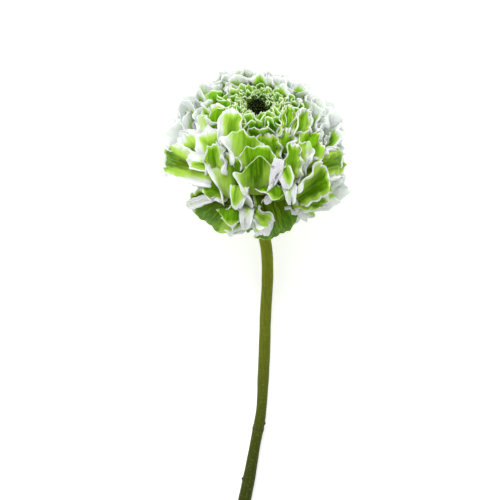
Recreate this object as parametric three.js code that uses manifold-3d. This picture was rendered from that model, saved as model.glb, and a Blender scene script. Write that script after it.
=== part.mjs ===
// A cut ranunculus flower of the heavily ruffled kind, laid down on a flat surface.
// The bloom is a ball of frilled petals round a dark eye of carpels. It rests on its lower petals and on
// the cut end of its stem, and faces up and away from the stem. Units are millimetres and +Z is up. The
// origin is the middle of the flower's footprint, on the surface it lies on.
import * as THREE from "three";
import { mergeVertices } from "three/addons/utils/BufferGeometryUtils.js";
import Module from "manifold-3d";

const wasm = await Module();
wasm.setup();

// Driving dimensions of the bloom, in its own frame: axis +Z, origin at the middle of the ball.
const BLOOM_RADIUS = 42;
const BLOOM_HALF_HEIGHT = 35;

// Where the bloom lies: its middle above the surface, and how far its axis leans from upright.
const BLOOM_CENTRE = new THREE.Vector3(0.5, 67.3, 32.8);
const BLOOM_LEAN = THREE.MathUtils.degToRad(48);

const GAP = 0.3; // left between two pieces that touch
const SUNK = 2.5; // how deep a petal's root runs into the core
const FINENESS = 0.06; // details smaller than this are left out of the fused pieces
const GOLDEN_ANGLE = Math.PI * (3 - Math.sqrt(5)); // from each petal or carpel of a spiral to the next

const { sin, cos, PI, sqrt, abs, exp, log, min, max, floor, hypot, atan2 } = Math;
const degrees = THREE.MathUtils.degToRad;
const mix = THREE.MathUtils.lerp;
const ease = THREE.MathUtils.smoothstep;

// A repeatable number from 0 to 1 for piece i and use k.
function chance(i, k) {
  const x = sin(i * 12.9898 + k * 78.233) * 43758.5453;
  return x - floor(x);
}

// A closed geometry as a manifold solid.
function solidOf(geometry) {
  const bare = geometry.clone();
  bare.deleteAttribute("normal");
  bare.deleteAttribute("uv");
  const merged = mergeVertices(bare, 1e-4);
  return new wasm.Manifold(
    new wasm.Mesh({
      numProp: 3,
      vertProperties: new Float32Array(merged.attributes.position.array),
      triVerts: new Uint32Array(merged.index.array),
    }),
  );
}

// The largest body of a solid, without the loose scraps that cutting leaves.
function largestBody(solid) {
  const bodies = solid.decompose();
  return bodies.reduce((a, b) => (b.volume() > a.volume() ? b : a));
}

function geometryOf(solid) {
  const mesh = solid.getMesh();
  const geometry = new THREE.BufferGeometry();
  geometry.setAttribute("position", new THREE.BufferAttribute(new Float32Array(mesh.vertProperties), 3));
  geometry.setIndex(new THREE.BufferAttribute(new Uint32Array(mesh.triVerts), 1));
  geometry.computeVertexNormals();
  return geometry;
}

// The bloom's frame as a matrix: its axis leans from +Z towards +Y.
const bloomMatrix = new THREE.Matrix4()
  .makeRotationX(-BLOOM_LEAN)
  .setPosition(BLOOM_CENTRE);

function inWorld(point) {
  return point.clone().applyMatrix4(bloomMatrix);
}

// The bloom isn't an even ball: seen from above it reaches further out in some directions than in others.
// Each lobe is [direction anticlockwise from +X in degrees, extra reach as a share, half width in degrees].
const LOBES = [
  [70, -0.06, 45],
  [145, 0.1, 22],
  [188, 0.1, 9],
  [207, -0.2, 9],
  [221, 0.1, 8],
  [272, 0.15, 20],
  [339, 0.14, 9],
];
function spread(point) {
  const x = point.x - BLOOM_CENTRE.x;
  const y = point.y - BLOOM_CENTRE.y;
  const outer = ease(hypot(x, y), 16, 38);
  let scale = 1;
  for (const [direction, reach, halfWidth] of LOBES) {
    const aside = THREE.MathUtils.euclideanModulo(atan2(y, x) - degrees(direction) + PI, 2 * PI) - PI;
    scale += outer * reach * exp(-((aside / degrees(halfWidth)) ** 2));
  }
  return point.setX(BLOOM_CENTRE.x + x * scale).setY(BLOOM_CENTRE.y + y * scale);
}

// The weight of the bloom bends the petals under it: a height below the surface is eased off to PRESSED_TO,
// so that a sliver of each such petal is left to be cut flat.
const PRESSED_TO = -0.4;
const PRESSED_SOFTLY = 0.8;
function pressed(point) {
  const height = (point.z - PRESSED_TO) / PRESSED_SOFTLY;
  return height > 20 ? point : point.setZ(PRESSED_TO + PRESSED_SOFTLY * log(1 + exp(height)));
}

// A thin closed blade round a grid of points, grid[across][along], split alike on both faces.
function blade(grid, thickness) {
  const nu = grid.length - 1;
  const nv = grid[0].length - 1;
  const positions = [];
  for (const side of [0.5, -0.5])
    for (let i = 0; i <= nu; i++)
      for (let j = 0; j <= nv; j++) {
        const across = grid[min(i + 1, nu)][j].clone().sub(grid[max(i - 1, 0)][j]);
        const along = grid[i][min(j + 1, nv)].clone().sub(grid[i][max(j - 1, 0)]);
        const normal = across.cross(along).normalize();
        positions.push(...grid[i][j].clone().addScaledVector(normal, side * thickness).toArray());
      }
  const at = (side, i, j) => side * (nu + 1) * (nv + 1) + i * (nv + 1) + j;
  const index = [];
  const quad = (a, b, c, d) => index.push(a, b, c, a, c, d);
  for (let i = 0; i < nu; i++)
    for (let j = 0; j < nv; j++) {
      index.push(at(0, i, j), at(0, i + 1, j), at(0, i + 1, j + 1));
      index.push(at(0, i, j), at(0, i + 1, j + 1), at(0, i, j + 1));
      index.push(at(1, i, j), at(1, i + 1, j + 1), at(1, i + 1, j));
      index.push(at(1, i, j), at(1, i, j + 1), at(1, i + 1, j + 1));
    }
  for (let i = 0; i < nu; i++) {
    quad(at(0, i, 0), at(1, i, 0), at(1, i + 1, 0), at(0, i + 1, 0));
    quad(at(0, i, nv), at(0, i + 1, nv), at(1, i + 1, nv), at(1, i, nv));
  }
  for (let j = 0; j < nv; j++) {
    quad(at(0, 0, j), at(0, 0, j + 1), at(1, 0, j + 1), at(1, 0, j));
    quad(at(0, nu, j), at(1, nu, j), at(1, nu, j + 1), at(0, nu, j + 1));
  }
  const geometry = new THREE.BufferGeometry();
  geometry.setAttribute("position", new THREE.Float32BufferAttribute(positions, 3));
  geometry.setIndex(index);
  return geometry;
}

// A petal lies on a bowl-shaped shell round the bloom's axis. Its middle line runs from a root on the core
// to a tip on the ball, given as [radius, height], leaving and arriving at slopes above the equator's plane.
// Its margin is thrown into folds: the wave grows from the root, and leans over by overhang where folds turn.
// The corners are cut back by rounding, and near the axis the petal wraps no tighter than the wrap radius.
function petalGrid(petal) {
  const { root, tip, columns: nu, rows: nv } = petal;
  const reach = root.distanceTo(tip);
  const leave = new THREE.Vector2(cos(petal.rootSlope), sin(petal.rootSlope));
  const arrive = new THREE.Vector2(cos(petal.tipSlope), sin(petal.tipSlope));
  const profile = new THREE.CubicBezierCurve(
    root,
    root.clone().addScaledVector(leave, 0.38 * reach),
    tip.clone().addScaledVector(arrive, -0.38 * reach),
    tip,
  );
  const start = root.clone().addScaledVector(leave, -SUNK);
  const k = (2 * PI) / petal.wavelength;
  const grid = [];
  for (let i = 0; i <= nu; i++) {
    const u = (2 * i) / nu - 1;
    const column = [];
    for (let j = 0; j <= nv; j++) {
      const along = j === 0 ? 0 : (j - 1) / (nv - 1);
      const v = along * (1 - petal.rounding * abs(u) ** 3);
      const place = j === 0 ? start : profile.getPoint(v);
      const heading = j === 0 ? leave : profile.getTangent(v);
      const outward = new THREE.Vector2(heading.y, -heading.x);
      const s = 0.5 * u * petal.width * mix(0.45, 1, sqrt(v));
      const rise = ease(v, 0.1, 1);
      const phase = k * s + petal.phase + 0.6 * sin(0.5 * k * s + petal.drift);
      const side = s - (rise * petal.overhang * sin(2 * phase)) / (2 * k);
      const off = rise * petal.ruffle * sin(phase);
      const radius = place.x + off * outward.x;
      const angle = petal.azimuth + side / max(place.x, petal.wrap);
      const height = place.y + off * outward.y;
      column.push(new THREE.Vector3(radius * cos(angle), radius * sin(angle), height));
    }
    grid.push(column);
  }
  return grid.map((column) => column.map((point) => pressed(spread(inWorld(point)))));
}

// The core that the large petals grow from: a dome that narrows to the neck, [radius, height] from its top.
const NECK = { radius: 7, height: -21 };
const CORE_TOP = 16.5;
const coreProfile = new THREE.SplineCurve(
  [[17.6, CORE_TOP], [24, 12], [27.5, 5], [26, -4], [18.5, -12], [11, -18], [NECK.radius, NECK.height]].map(
    ([radius, height]) => new THREE.Vector2(radius, height),
  ),
);

// The large petals follow a spiral down the ball, by angle from its top. They grow, and stand further apart.
const LARGE = { from: degrees(27), to: degrees(118), thickness: 0.7, folds: 16 };
function largePetals() {
  const petals = [];
  let angle = LARGE.from;
  for (let i = 0; angle < LARGE.to; i++) {
    const share = (angle - LARGE.from) / (LARGE.to - LARGE.from);
    const spacing = mix(9, 18.6, share ** 0.7);
    const swell = mix(0.95, 1.03, chance(i, 1));
    const tip = new THREE.Vector2(swell * BLOOM_RADIUS * sin(angle), swell * BLOOM_HALF_HEIGHT * cos(angle));
    const azimuth = i * GOLDEN_ANGLE;
    petals.push({
      azimuth,
      root: coreProfile.getPointAt(mix(0.02, 0.9, share)),
      rootSlope: mix(degrees(75), degrees(-4), share ** 0.8),
      tip,
      tipSlope: mix(degrees(92), degrees(-62), share ** 2.2) + degrees(mix(-14, 14, chance(i, 2))),
      columns: 7,
      rows: 3,
      width: 1.55 * spacing,
      wavelength: (2 * PI * tip.x) / LARGE.folds,
      ruffle: mix(1.5, 3.6, share),
      overhang: 0.8,
      phase: LARGE.folds * azimuth + 1.2 * chance(i, 3),
      drift: 2 * PI * chance(i, 4),
      rounding: 0.25,
      wrap: 12,
    });
    const around = 2 * PI * BLOOM_RADIUS * sin(angle);
    const down = hypot(BLOOM_RADIUS * cos(angle), BLOOM_HALF_HEIGHT * sin(angle));
    angle += spacing ** 2 / (around * down);
  }
  return petals;
}

// The small petals stand round the eye on a low dome of their own, set into the top of the core.
const HEART = { radius: 16.4, floor: 14, top: 20, thickness: 0.6 };
const EYE = { radius: 4, floor: 18.5 };
function smallPetals() {
  const petals = [];
  const first = EYE.radius + GAP + 1;
  const last = HEART.radius - 0.8;
  let radius = first;
  for (let i = 0; radius < last; i++) {
    const share = (radius - first) / (last - first);
    const spacing = mix(3.8, 6.2, share);
    const azimuth = i * GOLDEN_ANGLE;
    petals.push({
      azimuth,
      root: new THREE.Vector2(radius, HEART.top - 0.5),
      rootSlope: degrees(mix(96, 72, share)),
      tip: new THREE.Vector2(radius + mix(-0.2, 1, share), mix(31, 32.5, ease(share, 0, 0.6)) - 1.5 * share),
      tipSlope: degrees(mix(108, 78, share) + mix(-10, 10, chance(i, 12))),
      columns: share > 0.4 ? 5 : 4,
      rows: 3,
      width: 2 * spacing,
      wavelength: mix(4.5, 7.5, share),
      ruffle: mix(0.7, 1.2, share),
      overhang: 0.5,
      phase: 2 * PI * chance(i, 13),
      drift: 2 * PI * chance(i, 14),
      rounding: 0.2,
      wrap: 2,
    });
    radius += spacing ** 2 / (2 * PI * radius);
  }
  return petals;
}

// A solid of revolution round the bloom's axis, from [radius, height] pairs that start and end on the axis.
function turned(profile, sides) {
  const points = profile.map(([radius, height]) => new THREE.Vector2(radius, height));
  return solidOf(new THREE.LatheGeometry(points, sides).rotateX(PI / 2).applyMatrix4(bloomMatrix));
}

// Petals fused to what they grow from, kept above the surface they lie on.
function fused(core, petals, thickness) {
  const blades = petals.map((petal) => solidOf(blade(petalGrid(petal), thickness)));
  const whole = wasm.Manifold.union([core, ...blades]).simplify(FINENESS);
  return largestBody(whole.trimByPlane([0, 0, 1], 0));
}

function makeLargePetals() {
  const outline = coreProfile.getSpacedPoints(12).map((point) => [point.x, point.y]);
  const socket = [[HEART.radius + GAP, CORE_TOP], [HEART.radius + GAP, HEART.floor], [0, HEART.floor]];
  const core = turned([[0, NECK.height], ...outline.reverse(), ...socket], 24);
  return fused(core, largePetals(), LARGE.thickness);
}

function makeHeart() {
  const hole = EYE.radius + GAP;
  const dome = turned(
    [[0, HEART.floor + GAP], [HEART.radius, HEART.floor + GAP], [HEART.radius, CORE_TOP], [13.5, HEART.top],
      [hole, HEART.top], [hole, EYE.floor], [0, EYE.floor]],
    24,
  );
  return fused(dome, smallPetals(), HEART.thickness);
}

// The eye: a blunt cone crowded with beaked carpels, which lean up and outwards.
function makeEye() {
  const carpels = 40;
  const carpelLength = 2.2;
  const body = 3.1;
  const bottom = EYE.floor + GAP;
  const cone = [[0, bottom], [body, bottom], [body, 24.5], [0.85 * body, 27], [0.45 * body, 28.8], [0, 29.3]];
  const solids = [turned(cone, 12)];
  for (let i = 0; i < carpels; i++) {
    const share = (i + 0.5) / carpels;
    const angle = i * GOLDEN_ANGLE;
    const radius = body * min(1, sqrt(1.9 * share)) * 0.86;
    const height = share < 0.5 ? mix(29.1, 26.1, (share / 0.5) ** 1.6) : mix(25.9, 22.5, 2 * share - 1);
    const lean = mix(0.1, 0.95, share);
    const carpel = new THREE.ConeGeometry(0.62, carpelLength, 4)
      .translate(0, carpelLength * 0.24, 0)
      .rotateX(PI / 2)
      .rotateY(lean)
      .translate(radius, 0, height)
      .rotateZ(angle);
    solids.push(solidOf(carpel.applyMatrix4(bloomMatrix)));
  }
  return largestBody(wasm.Manifold.union(solids));
}

// The calyx: the end of the stem that carries the core, with five pointed sepals bent back under the bloom.
const CALYX = { sepals: 5, length: 15, width: 8.5, thickness: 0.9, top: NECK.height - GAP, foot: -25 };
function makeCalyx() {
  const { top, foot } = CALYX;
  const cup = turned([[0, foot], [3.4, foot], [5.6, foot + 1.4], [6.6, top - 0.6], [6.6, top], [0, top]], 16);
  const solids = [cup];
  for (let i = 0; i < CALYX.sepals; i++) {
    const azimuth = (2 * PI * (i + 0.3)) / CALYX.sepals;
    const grid = [];
    for (let a = 0; a <= 4; a++) {
      const column = [];
      for (let b = 0; b <= 4; b++) {
        const v = b / 4;
        const half = 0.5 * CALYX.width * mix(sin(PI * v ** 0.7) ** 0.8, 0.72, max(0, 1 - 2.2 * v));
        const across = (a / 2 - 1) * max(half, 0.3);
        const out = 4 + CALYX.length * v;
        const down = 23.2 + 2.6 * v - 3.4 * v * (1 - v) - 0.05 * across ** 2;
        const point = new THREE.Vector3(out, across, -down);
        column.push(inWorld(point.applyAxisAngle(new THREE.Vector3(0, 0, 1), azimuth)));
      }
      grid.push(column);
    }
    solids.push(solidOf(blade(grid, CALYX.thickness)));
  }
  return largestBody(wasm.Manifold.union(solids).simplify(FINENESS));
}

// The stem leaves the calyx in line with the bloom's axis, then runs along the surface to its cut end.
// Points on its middle line as [across, along, height, radius]: across and along are from the bloom's middle.
// It bows, and bends once more at a joint low down, where it is a little thicker.
const STEM_ROUTE = [
  [2.3, -31, 9.9, 2.75],
  [4.6, -42, 8.4, 2.75],
  [5.1, -54, 7.5, 2.7],
  [4.2, -72, 6.7, 2.65],
  [3.3, -98, 5.6, 2.7],
  [1.1, -124.8, 4.4, 2.6],
  [0.75, -126.5, 4.3, 2.8],
  [0.4, -128.2, 4.2, 2.6],
  [-3.4, -149, 3.6, 2.85],
  [-8.2, -172, 3, 3.15],
];
const STEM_TOP = [
  [CALYX.foot - GAP, 3],
  [CALYX.foot - 5.3, 2.75],
];
function makeStem() {
  const sides = 12;
  const steps = 34;
  const route = [
    ...STEM_TOP.map(([height]) => inWorld(new THREE.Vector3(0, 0, height))),
    ...STEM_ROUTE.map(([x, y, z]) => new THREE.Vector3(BLOOM_CENTRE.x + x, BLOOM_CENTRE.y + y, z)),
  ];
  const radii = [...STEM_TOP, ...STEM_ROUTE].map((point) => point.at(-1));
  const path = new THREE.CatmullRomCurve3(route, false, "centripetal");
  const positions = [];
  const index = [];
  for (let i = 0; i <= steps; i++) {
    const centre = path.getPoint(i / steps);
    const heading = path.getTangent(i / steps);
    const side = new THREE.Vector3(0, 0, 1).cross(heading).normalize();
    const up = heading.clone().cross(side);
    const place = (i / steps) * (route.length - 1);
    const before = min(floor(place), route.length - 2);
    const radius = mix(radii[before], radii[before + 1], place - before);
    for (let k = 0; k < sides; k++) {
      const turn = (2 * PI * (k + 0.5)) / sides;
      const aside = side.clone().multiplyScalar(cos(turn)).addScaledVector(up, sin(turn));
      positions.push(...centre.clone().addScaledVector(aside, radius).toArray());
    }
  }
  const top = positions.length / 3;
  const end = top + 1;
  positions.push(...route[0].toArray(), ...route.at(-1).toArray());
  for (let k = 0; k < sides; k++) {
    const next = (k + 1) % sides;
    for (let ring = 0; ring < steps * sides; ring += sides) {
      index.push(ring + k, ring + next, ring + next + sides, ring + k, ring + next + sides, ring + k + sides);
    }
    index.push(top, next, k, end, steps * sides + k, steps * sides + next);
  }
  const geometry = new THREE.BufferGeometry();
  geometry.setAttribute("position", new THREE.Float32BufferAttribute(positions, 3));
  geometry.setIndex(index);
  return solidOf(geometry).trimByPlane([0, 0, 1], 0);
}

const flower = new THREE.Group();
function addPiece(name, solid, color, roughness) {
  const material = new THREE.MeshStandardMaterial({ color, roughness, metalness: 0 });
  const mesh = new THREE.Mesh(geometryOf(solid), material);
  mesh.name = name;
  flower.add(mesh);
}

addPiece("large_petals", makeLargePetals(), 0xdfe9c8, 0.5);
addPiece("heart_petals", makeHeart(), 0x8fbf3c, 0.5);
addPiece("eye", makeEye(), 0x141c0c, 0.6);
addPiece("calyx", makeCalyx(), 0x6f8a2c, 0.6);
addPiece("stem", makeStem(), 0x6c7c2c, 0.55);

export default flower;
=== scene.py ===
from math import cos, pi, radians, sin, sqrt

import bpy
import numpy as np
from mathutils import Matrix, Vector


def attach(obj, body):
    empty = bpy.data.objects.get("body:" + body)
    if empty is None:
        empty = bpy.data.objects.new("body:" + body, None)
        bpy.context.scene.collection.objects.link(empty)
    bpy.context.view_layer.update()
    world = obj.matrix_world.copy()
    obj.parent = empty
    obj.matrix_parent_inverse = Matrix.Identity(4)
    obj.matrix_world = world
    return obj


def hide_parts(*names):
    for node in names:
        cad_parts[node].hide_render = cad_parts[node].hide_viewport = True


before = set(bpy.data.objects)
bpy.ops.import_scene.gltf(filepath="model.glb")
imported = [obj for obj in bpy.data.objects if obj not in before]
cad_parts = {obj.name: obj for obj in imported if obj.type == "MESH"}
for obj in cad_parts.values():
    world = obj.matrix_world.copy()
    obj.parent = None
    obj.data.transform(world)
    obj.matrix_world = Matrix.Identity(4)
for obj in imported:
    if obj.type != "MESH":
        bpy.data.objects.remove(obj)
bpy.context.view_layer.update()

# The camera looks straight down on the flower, which lies on a white table with its cut end towards the
# bottom of the picture. Distances in this script are millimetres, and are turned into metres where they are
# handed over. The camera stands a little aside from the bloom's centre, at a height above the table.
MM = 0.001
BLOOM_CENTRE = (0.5, 67.3, 32.8)
CAMERA_HEIGHT = 657
CAMERA_ASIDE = (-3.13, -42.5)
LENS = 100
SENSOR = 36
NEAREST_SEEN = 10
camera = bpy.data.objects.new("camera", bpy.data.cameras.new("camera"))
camera.data.lens = LENS
camera.data.sensor_width = SENSOR
camera.data.clip_start = NEAREST_SEEN * MM
camera.location = (
    (BLOOM_CENTRE[0] + CAMERA_ASIDE[0]) * MM,
    (BLOOM_CENTRE[1] + CAMERA_ASIDE[1]) * MM,
    CAMERA_HEIGHT * MM,
)
bpy.context.scene.collection.objects.link(camera)
bpy.context.scene.camera = camera


# The table and the light: a white top that fades into white all round, a broad soft light from beyond the
# bloom, a weaker one from the left, and an even white sky. They are the setting and no part of the flower.
TABLE_HALF = 3000
TABLE_WHITE = 0.93
TABLE_GLOW = 0.45
SKY_STRENGTH = 0.68


def add_object(name, mesh):
    """A mesh as a piece of the scene."""
    piece = bpy.data.objects.new(name, mesh)
    bpy.context.scene.collection.objects.link(piece)
    return piece


def add_light(name, place, aim, size, watts):
    """A round area light at a place, turned to what it is aimed at."""
    light = bpy.data.lights.new(name, "AREA")
    light.shape = "DISK"
    light.size = size * MM
    light.energy = watts
    lamp = bpy.data.objects.new(name, light)
    lamp.location = np.array(place) * MM
    direction = np.array(aim) - np.array(place)
    lamp.rotation_euler = Vector(direction).to_track_quat("-Z", "Y").to_euler()
    bpy.context.scene.collection.objects.link(lamp)


class Paint:
    """A shader socket that can be added, multiplied and compared like a number."""

    def __init__(self, tree, socket):
        self.tree = tree
        self.socket = socket

    def node(self, kind, settings=None, out=0, **inputs):
        """A node of any kind, with its settings and its inputs, each a value or another Paint. An input is
        named by its label with _ for each space, or by i and its number; out is the number of the output."""
        made = self.tree.nodes.new(kind)
        for name, value in (settings or {}).items():
            setattr(made, name, value)
        for name, value in inputs.items():
            key = int(name[1:]) if name[0] == "i" and name[1:].isdigit() else name.replace("_", " ")
            if isinstance(value, Paint):
                self.tree.links.new(value.socket, made.inputs[key])
            else:
                made.inputs[key].default_value = value
        return Paint(self.tree, made.outputs[out])

    def maths(self, operation, *values):
        """A Math node on these values."""
        inputs = {f"i{k}": value for k, value in enumerate(values)}
        return self.node("ShaderNodeMath", {"operation": operation}, **inputs)

    def __add__(self, other):
        return self.maths("ADD", self, other)

    def __mul__(self, other):
        return self.maths("MULTIPLY", self, other)

    def __sub__(self, other):
        return self.maths("SUBTRACT", self, other)

    def __rsub__(self, other):
        return self.maths("SUBTRACT", other, self)

    __radd__ = __add__
    __rmul__ = __mul__

    def attribute(self, name):
        """The value that the mesh holds under this name at each vertex."""
        return self.node("ShaderNodeAttribute", {"attribute_name": name}, out=2)

    def step(self, low, high):
        """0 below low, 1 above high, and a smooth rise between them."""
        return self.node("ShaderNodeMapRange", {"interpolation_type": "SMOOTHSTEP"},
                         Value=self, From_Min=low, From_Max=high)

    def between(self, first, second):
        """A colour mixed from two colours by this value."""
        return self.node("ShaderNodeMix", {"data_type": "RGBA", "clamp_factor": True}, out=2,
                         i0=self, i6=colour(first), i7=colour(second))


def colour(value):
    """What a colour input takes: a Paint as it is, or red, green and blue with full alpha."""
    return value if isinstance(value, Paint) else (*value, 1)


def new_material(name, **inputs):
    """A material whose Principled shader has these inputs, each named by its label with _ for each space.
    Returns it, its shader and a Paint to start from."""
    material = bpy.data.materials.new(name)
    material.use_nodes = True
    shader = material.node_tree.nodes["Principled BSDF"]
    for label, value in inputs.items():
        shader.inputs[label.replace("_", " ")].default_value = value
    return material, shader, Paint(material.node_tree, None)


def feed(paint, shader, name):
    """Link a Paint to an input of the shader."""
    paint.tree.links.new(paint.socket, shader.inputs[name])


table = add_object("table", bpy.data.meshes.new("table"))
corners = np.array([(-1, -1, 0), (1, -1, 0), (1, 1, 0), (-1, 1, 0)]) * TABLE_HALF * MM
table.data.from_pydata(corners.tolist(), [], [(0, 1, 2, 3)])
table_paint, _, _ = new_material(
    "white_table", Base_Color=(TABLE_WHITE, TABLE_WHITE, TABLE_WHITE, 1), Roughness=0.7,
    Emission_Color=(1, 1, 1, 1), Emission_Strength=TABLE_GLOW,
)
table.data.materials.append(table_paint)

add_light("high_light", place=(-200, 800, 900), aim=(0, 60, 0), size=700, watts=10)
add_light("left_light", place=(-900, -100, 700), aim=(0, 0, 0), size=800, watts=0.9)
world = bpy.data.worlds.new("white_sky")
world.use_nodes = True
sky = world.node_tree.nodes["Background"].inputs
sky["Color"].default_value = (1, 1, 1, 1)
sky["Strength"].default_value = SKY_STRENGTH
bpy.context.scene.world = world
bpy.context.scene.view_settings.view_transform = "Standard"


# The large petals: the ruffled green and white petals of the ball. Each is a thin blade of tissue that grows
# from the core, broadens into a cupped fan, and is thrown into folds and rolled outwards at its margin.
# Angles round the bloom's axis start at its right side and pass its far side; 0 on the axis is its centre.
BLOOM_RADIUS = 42
BLOOM_HALF_HEIGHT = 35
BLOOM_LEAN = radians(48)
GOLDEN_ANGLE = pi * (3 - sqrt(5))
PRESSED_TO = 0.2
PRESSED_SOFTLY = 0.8
BLOOM_TOP = 74
PETAL_THICKNESS = 0.25
# Where the bloom reaches further out or less far, seen from above: direction and half width in degrees, and
# between them the change of reach as a share.
LOBES = [
    (70, -0.06, 45), (145, 0.1, 22), (188, 0.1, 9), (207, -0.2, 9), (221, 0.1, 8), (272, 0.15, 20),
    (339, 0.14, 9),
]
# The side of the core from its shoulder down to its neck, as radius and height.
CORE_PROFILE = [(17.6, 16.5), (24, 12), (27.5, 5), (26, -4), (18.5, -12), (11, -18), (7, -21)]


def mix(a, b, share):
    """The value that is this share of the way from a to b."""
    return a + (b - a) * share


def ease(x, low, high):
    """0 at low, 1 at high, and a smooth change between them; low may be the larger."""
    share = np.clip((x - low) / (high - low), 0, 1)
    return share * share * (3 - 2 * share)


def chance(i, k):
    """A repeatable number from 0 to 1 for petal i and use k."""
    return (sin(i * 12.9898 + k * 78.233) * 43758.5453) % 1


def in_world(x, y, z):
    """Points of the bloom's own frame, in the object's frame: its axis leans from +Z towards +Y."""
    return np.stack([
        x + BLOOM_CENTRE[0],
        y * cos(BLOOM_LEAN) + z * sin(BLOOM_LEAN) + BLOOM_CENTRE[1],
        z * cos(BLOOM_LEAN) - y * sin(BLOOM_LEAN) + BLOOM_CENTRE[2],
    ], axis=-1)


def spread(points):
    """The bloom reaches further out in some directions than in others, seen from above."""
    x, y = points[..., 0] - BLOOM_CENTRE[0], points[..., 1] - BLOOM_CENTRE[1]
    outer = ease(np.hypot(x, y), 16, 38)
    scale = np.ones_like(x)
    for direction, reach, half_width in LOBES:
        aside = (np.arctan2(y, x) - radians(direction) + pi) % (2 * pi) - pi
        scale += outer * reach * np.exp(-((aside / radians(half_width)) ** 2))
    return np.stack([BLOOM_CENTRE[0] + x * scale, BLOOM_CENTRE[1] + y * scale, points[..., 2]], axis=-1)


def pressed(points):
    """Petals that would reach below the table are bent flat on it, and none stands above the bloom's top."""
    above = np.logaddexp(0, (points[..., 2] - PRESSED_TO) / PRESSED_SOFTLY)
    below = np.logaddexp(0, (BLOOM_TOP - PRESSED_TO) / PRESSED_SOFTLY - above)
    height = BLOOM_TOP - PRESSED_SOFTLY * below
    return np.concatenate([points[..., :2], height[..., None]], axis=-1)


HANDLE = 0.38


def along_profile(root, root_slope, tip, tip_slope, v):
    """The middle line of a petal: places and headings as radius and height, from its root to its tip. It is
    a cubic curve whose control points lie HANDLE of the reach from its ends."""
    reach = np.hypot(tip[0] - root[0], tip[1] - root[1])
    leave = np.array([cos(root_slope), sin(root_slope)])
    arrive = np.array([cos(tip_slope), sin(tip_slope)])
    a, d = np.array(root, float), np.array(tip, float)
    b, c = a + HANDLE * reach * leave, d - HANDLE * reach * arrive
    w = v[..., None]
    place = (1 - w) ** 3 * a + 3 * (1 - w) ** 2 * w * b + 3 * (1 - w) * w ** 2 * c + w ** 3 * d
    heading = 3 * (1 - w) ** 2 * (b - a) + 6 * (1 - w) * w * (c - b) + 3 * w ** 2 * (d - c)
    return place, heading / np.linalg.norm(heading, axis=-1, keepdims=True)


def folds_at(azimuth):
    """Where in its folds the tissue is at each azimuth: folds are wide at the front, tight at the back."""
    return 15 * azimuth - 4 * np.sin(azimuth + pi / 2) + 1.3 * np.sin(5 * azimuth + 0.7)


# What a petal is like unless it says otherwise. Its faces are counted across and along, and wrap is the least
# radius that it is bent round. Its base is a share of its width, and rounding, slant, hump, cleft and frill
# shape its tip. It folds by ruffle, less below smooth; crimp, side_ruffle and pleat are finer waves in mm.
# Its left and right sides curl, its lip rolls back over so many mm, and tilt and sway lean it aside. Tone is
# how light its green is, partly at random and partly painted light and shade, and white is how wide its pale
# margins are at the top, left and right.
PETAL = dict(
    cells=(36, 18), wrap=12,
    base=0.35, rounding=0.3, slant=0, hump=0, cleft=0, cleft_at=0, frill=0.015,
    ruffle=0.9, smooth=0.08, folds=1, phase=0, drift=0, crimp=0.45, side_ruffle=0.6, pleat=0.06,
    curl=(0.6, 0.6), curl_share=0.35, lip=2.5, roll=0.8, tilt=0, sway=0, tone=0.5, white=(2, 2, 2),
)
# Waves of the margin fade out within these distances of it. A petal is longer than its reach by STRETCH.
CRIMPED_WITHIN = 5
RIPPLED_WITHIN = 5.5
STRETCH = 1.15
LEAST_ROLL = 0.05


def past_white(distance, white):
    """0 at the margin, 1 where the white ends, and more beyond it, where the green comes in softly."""
    return np.where(distance < white, distance / white, 1 + (distance - white) / np.sqrt(1.2 * white))


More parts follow.
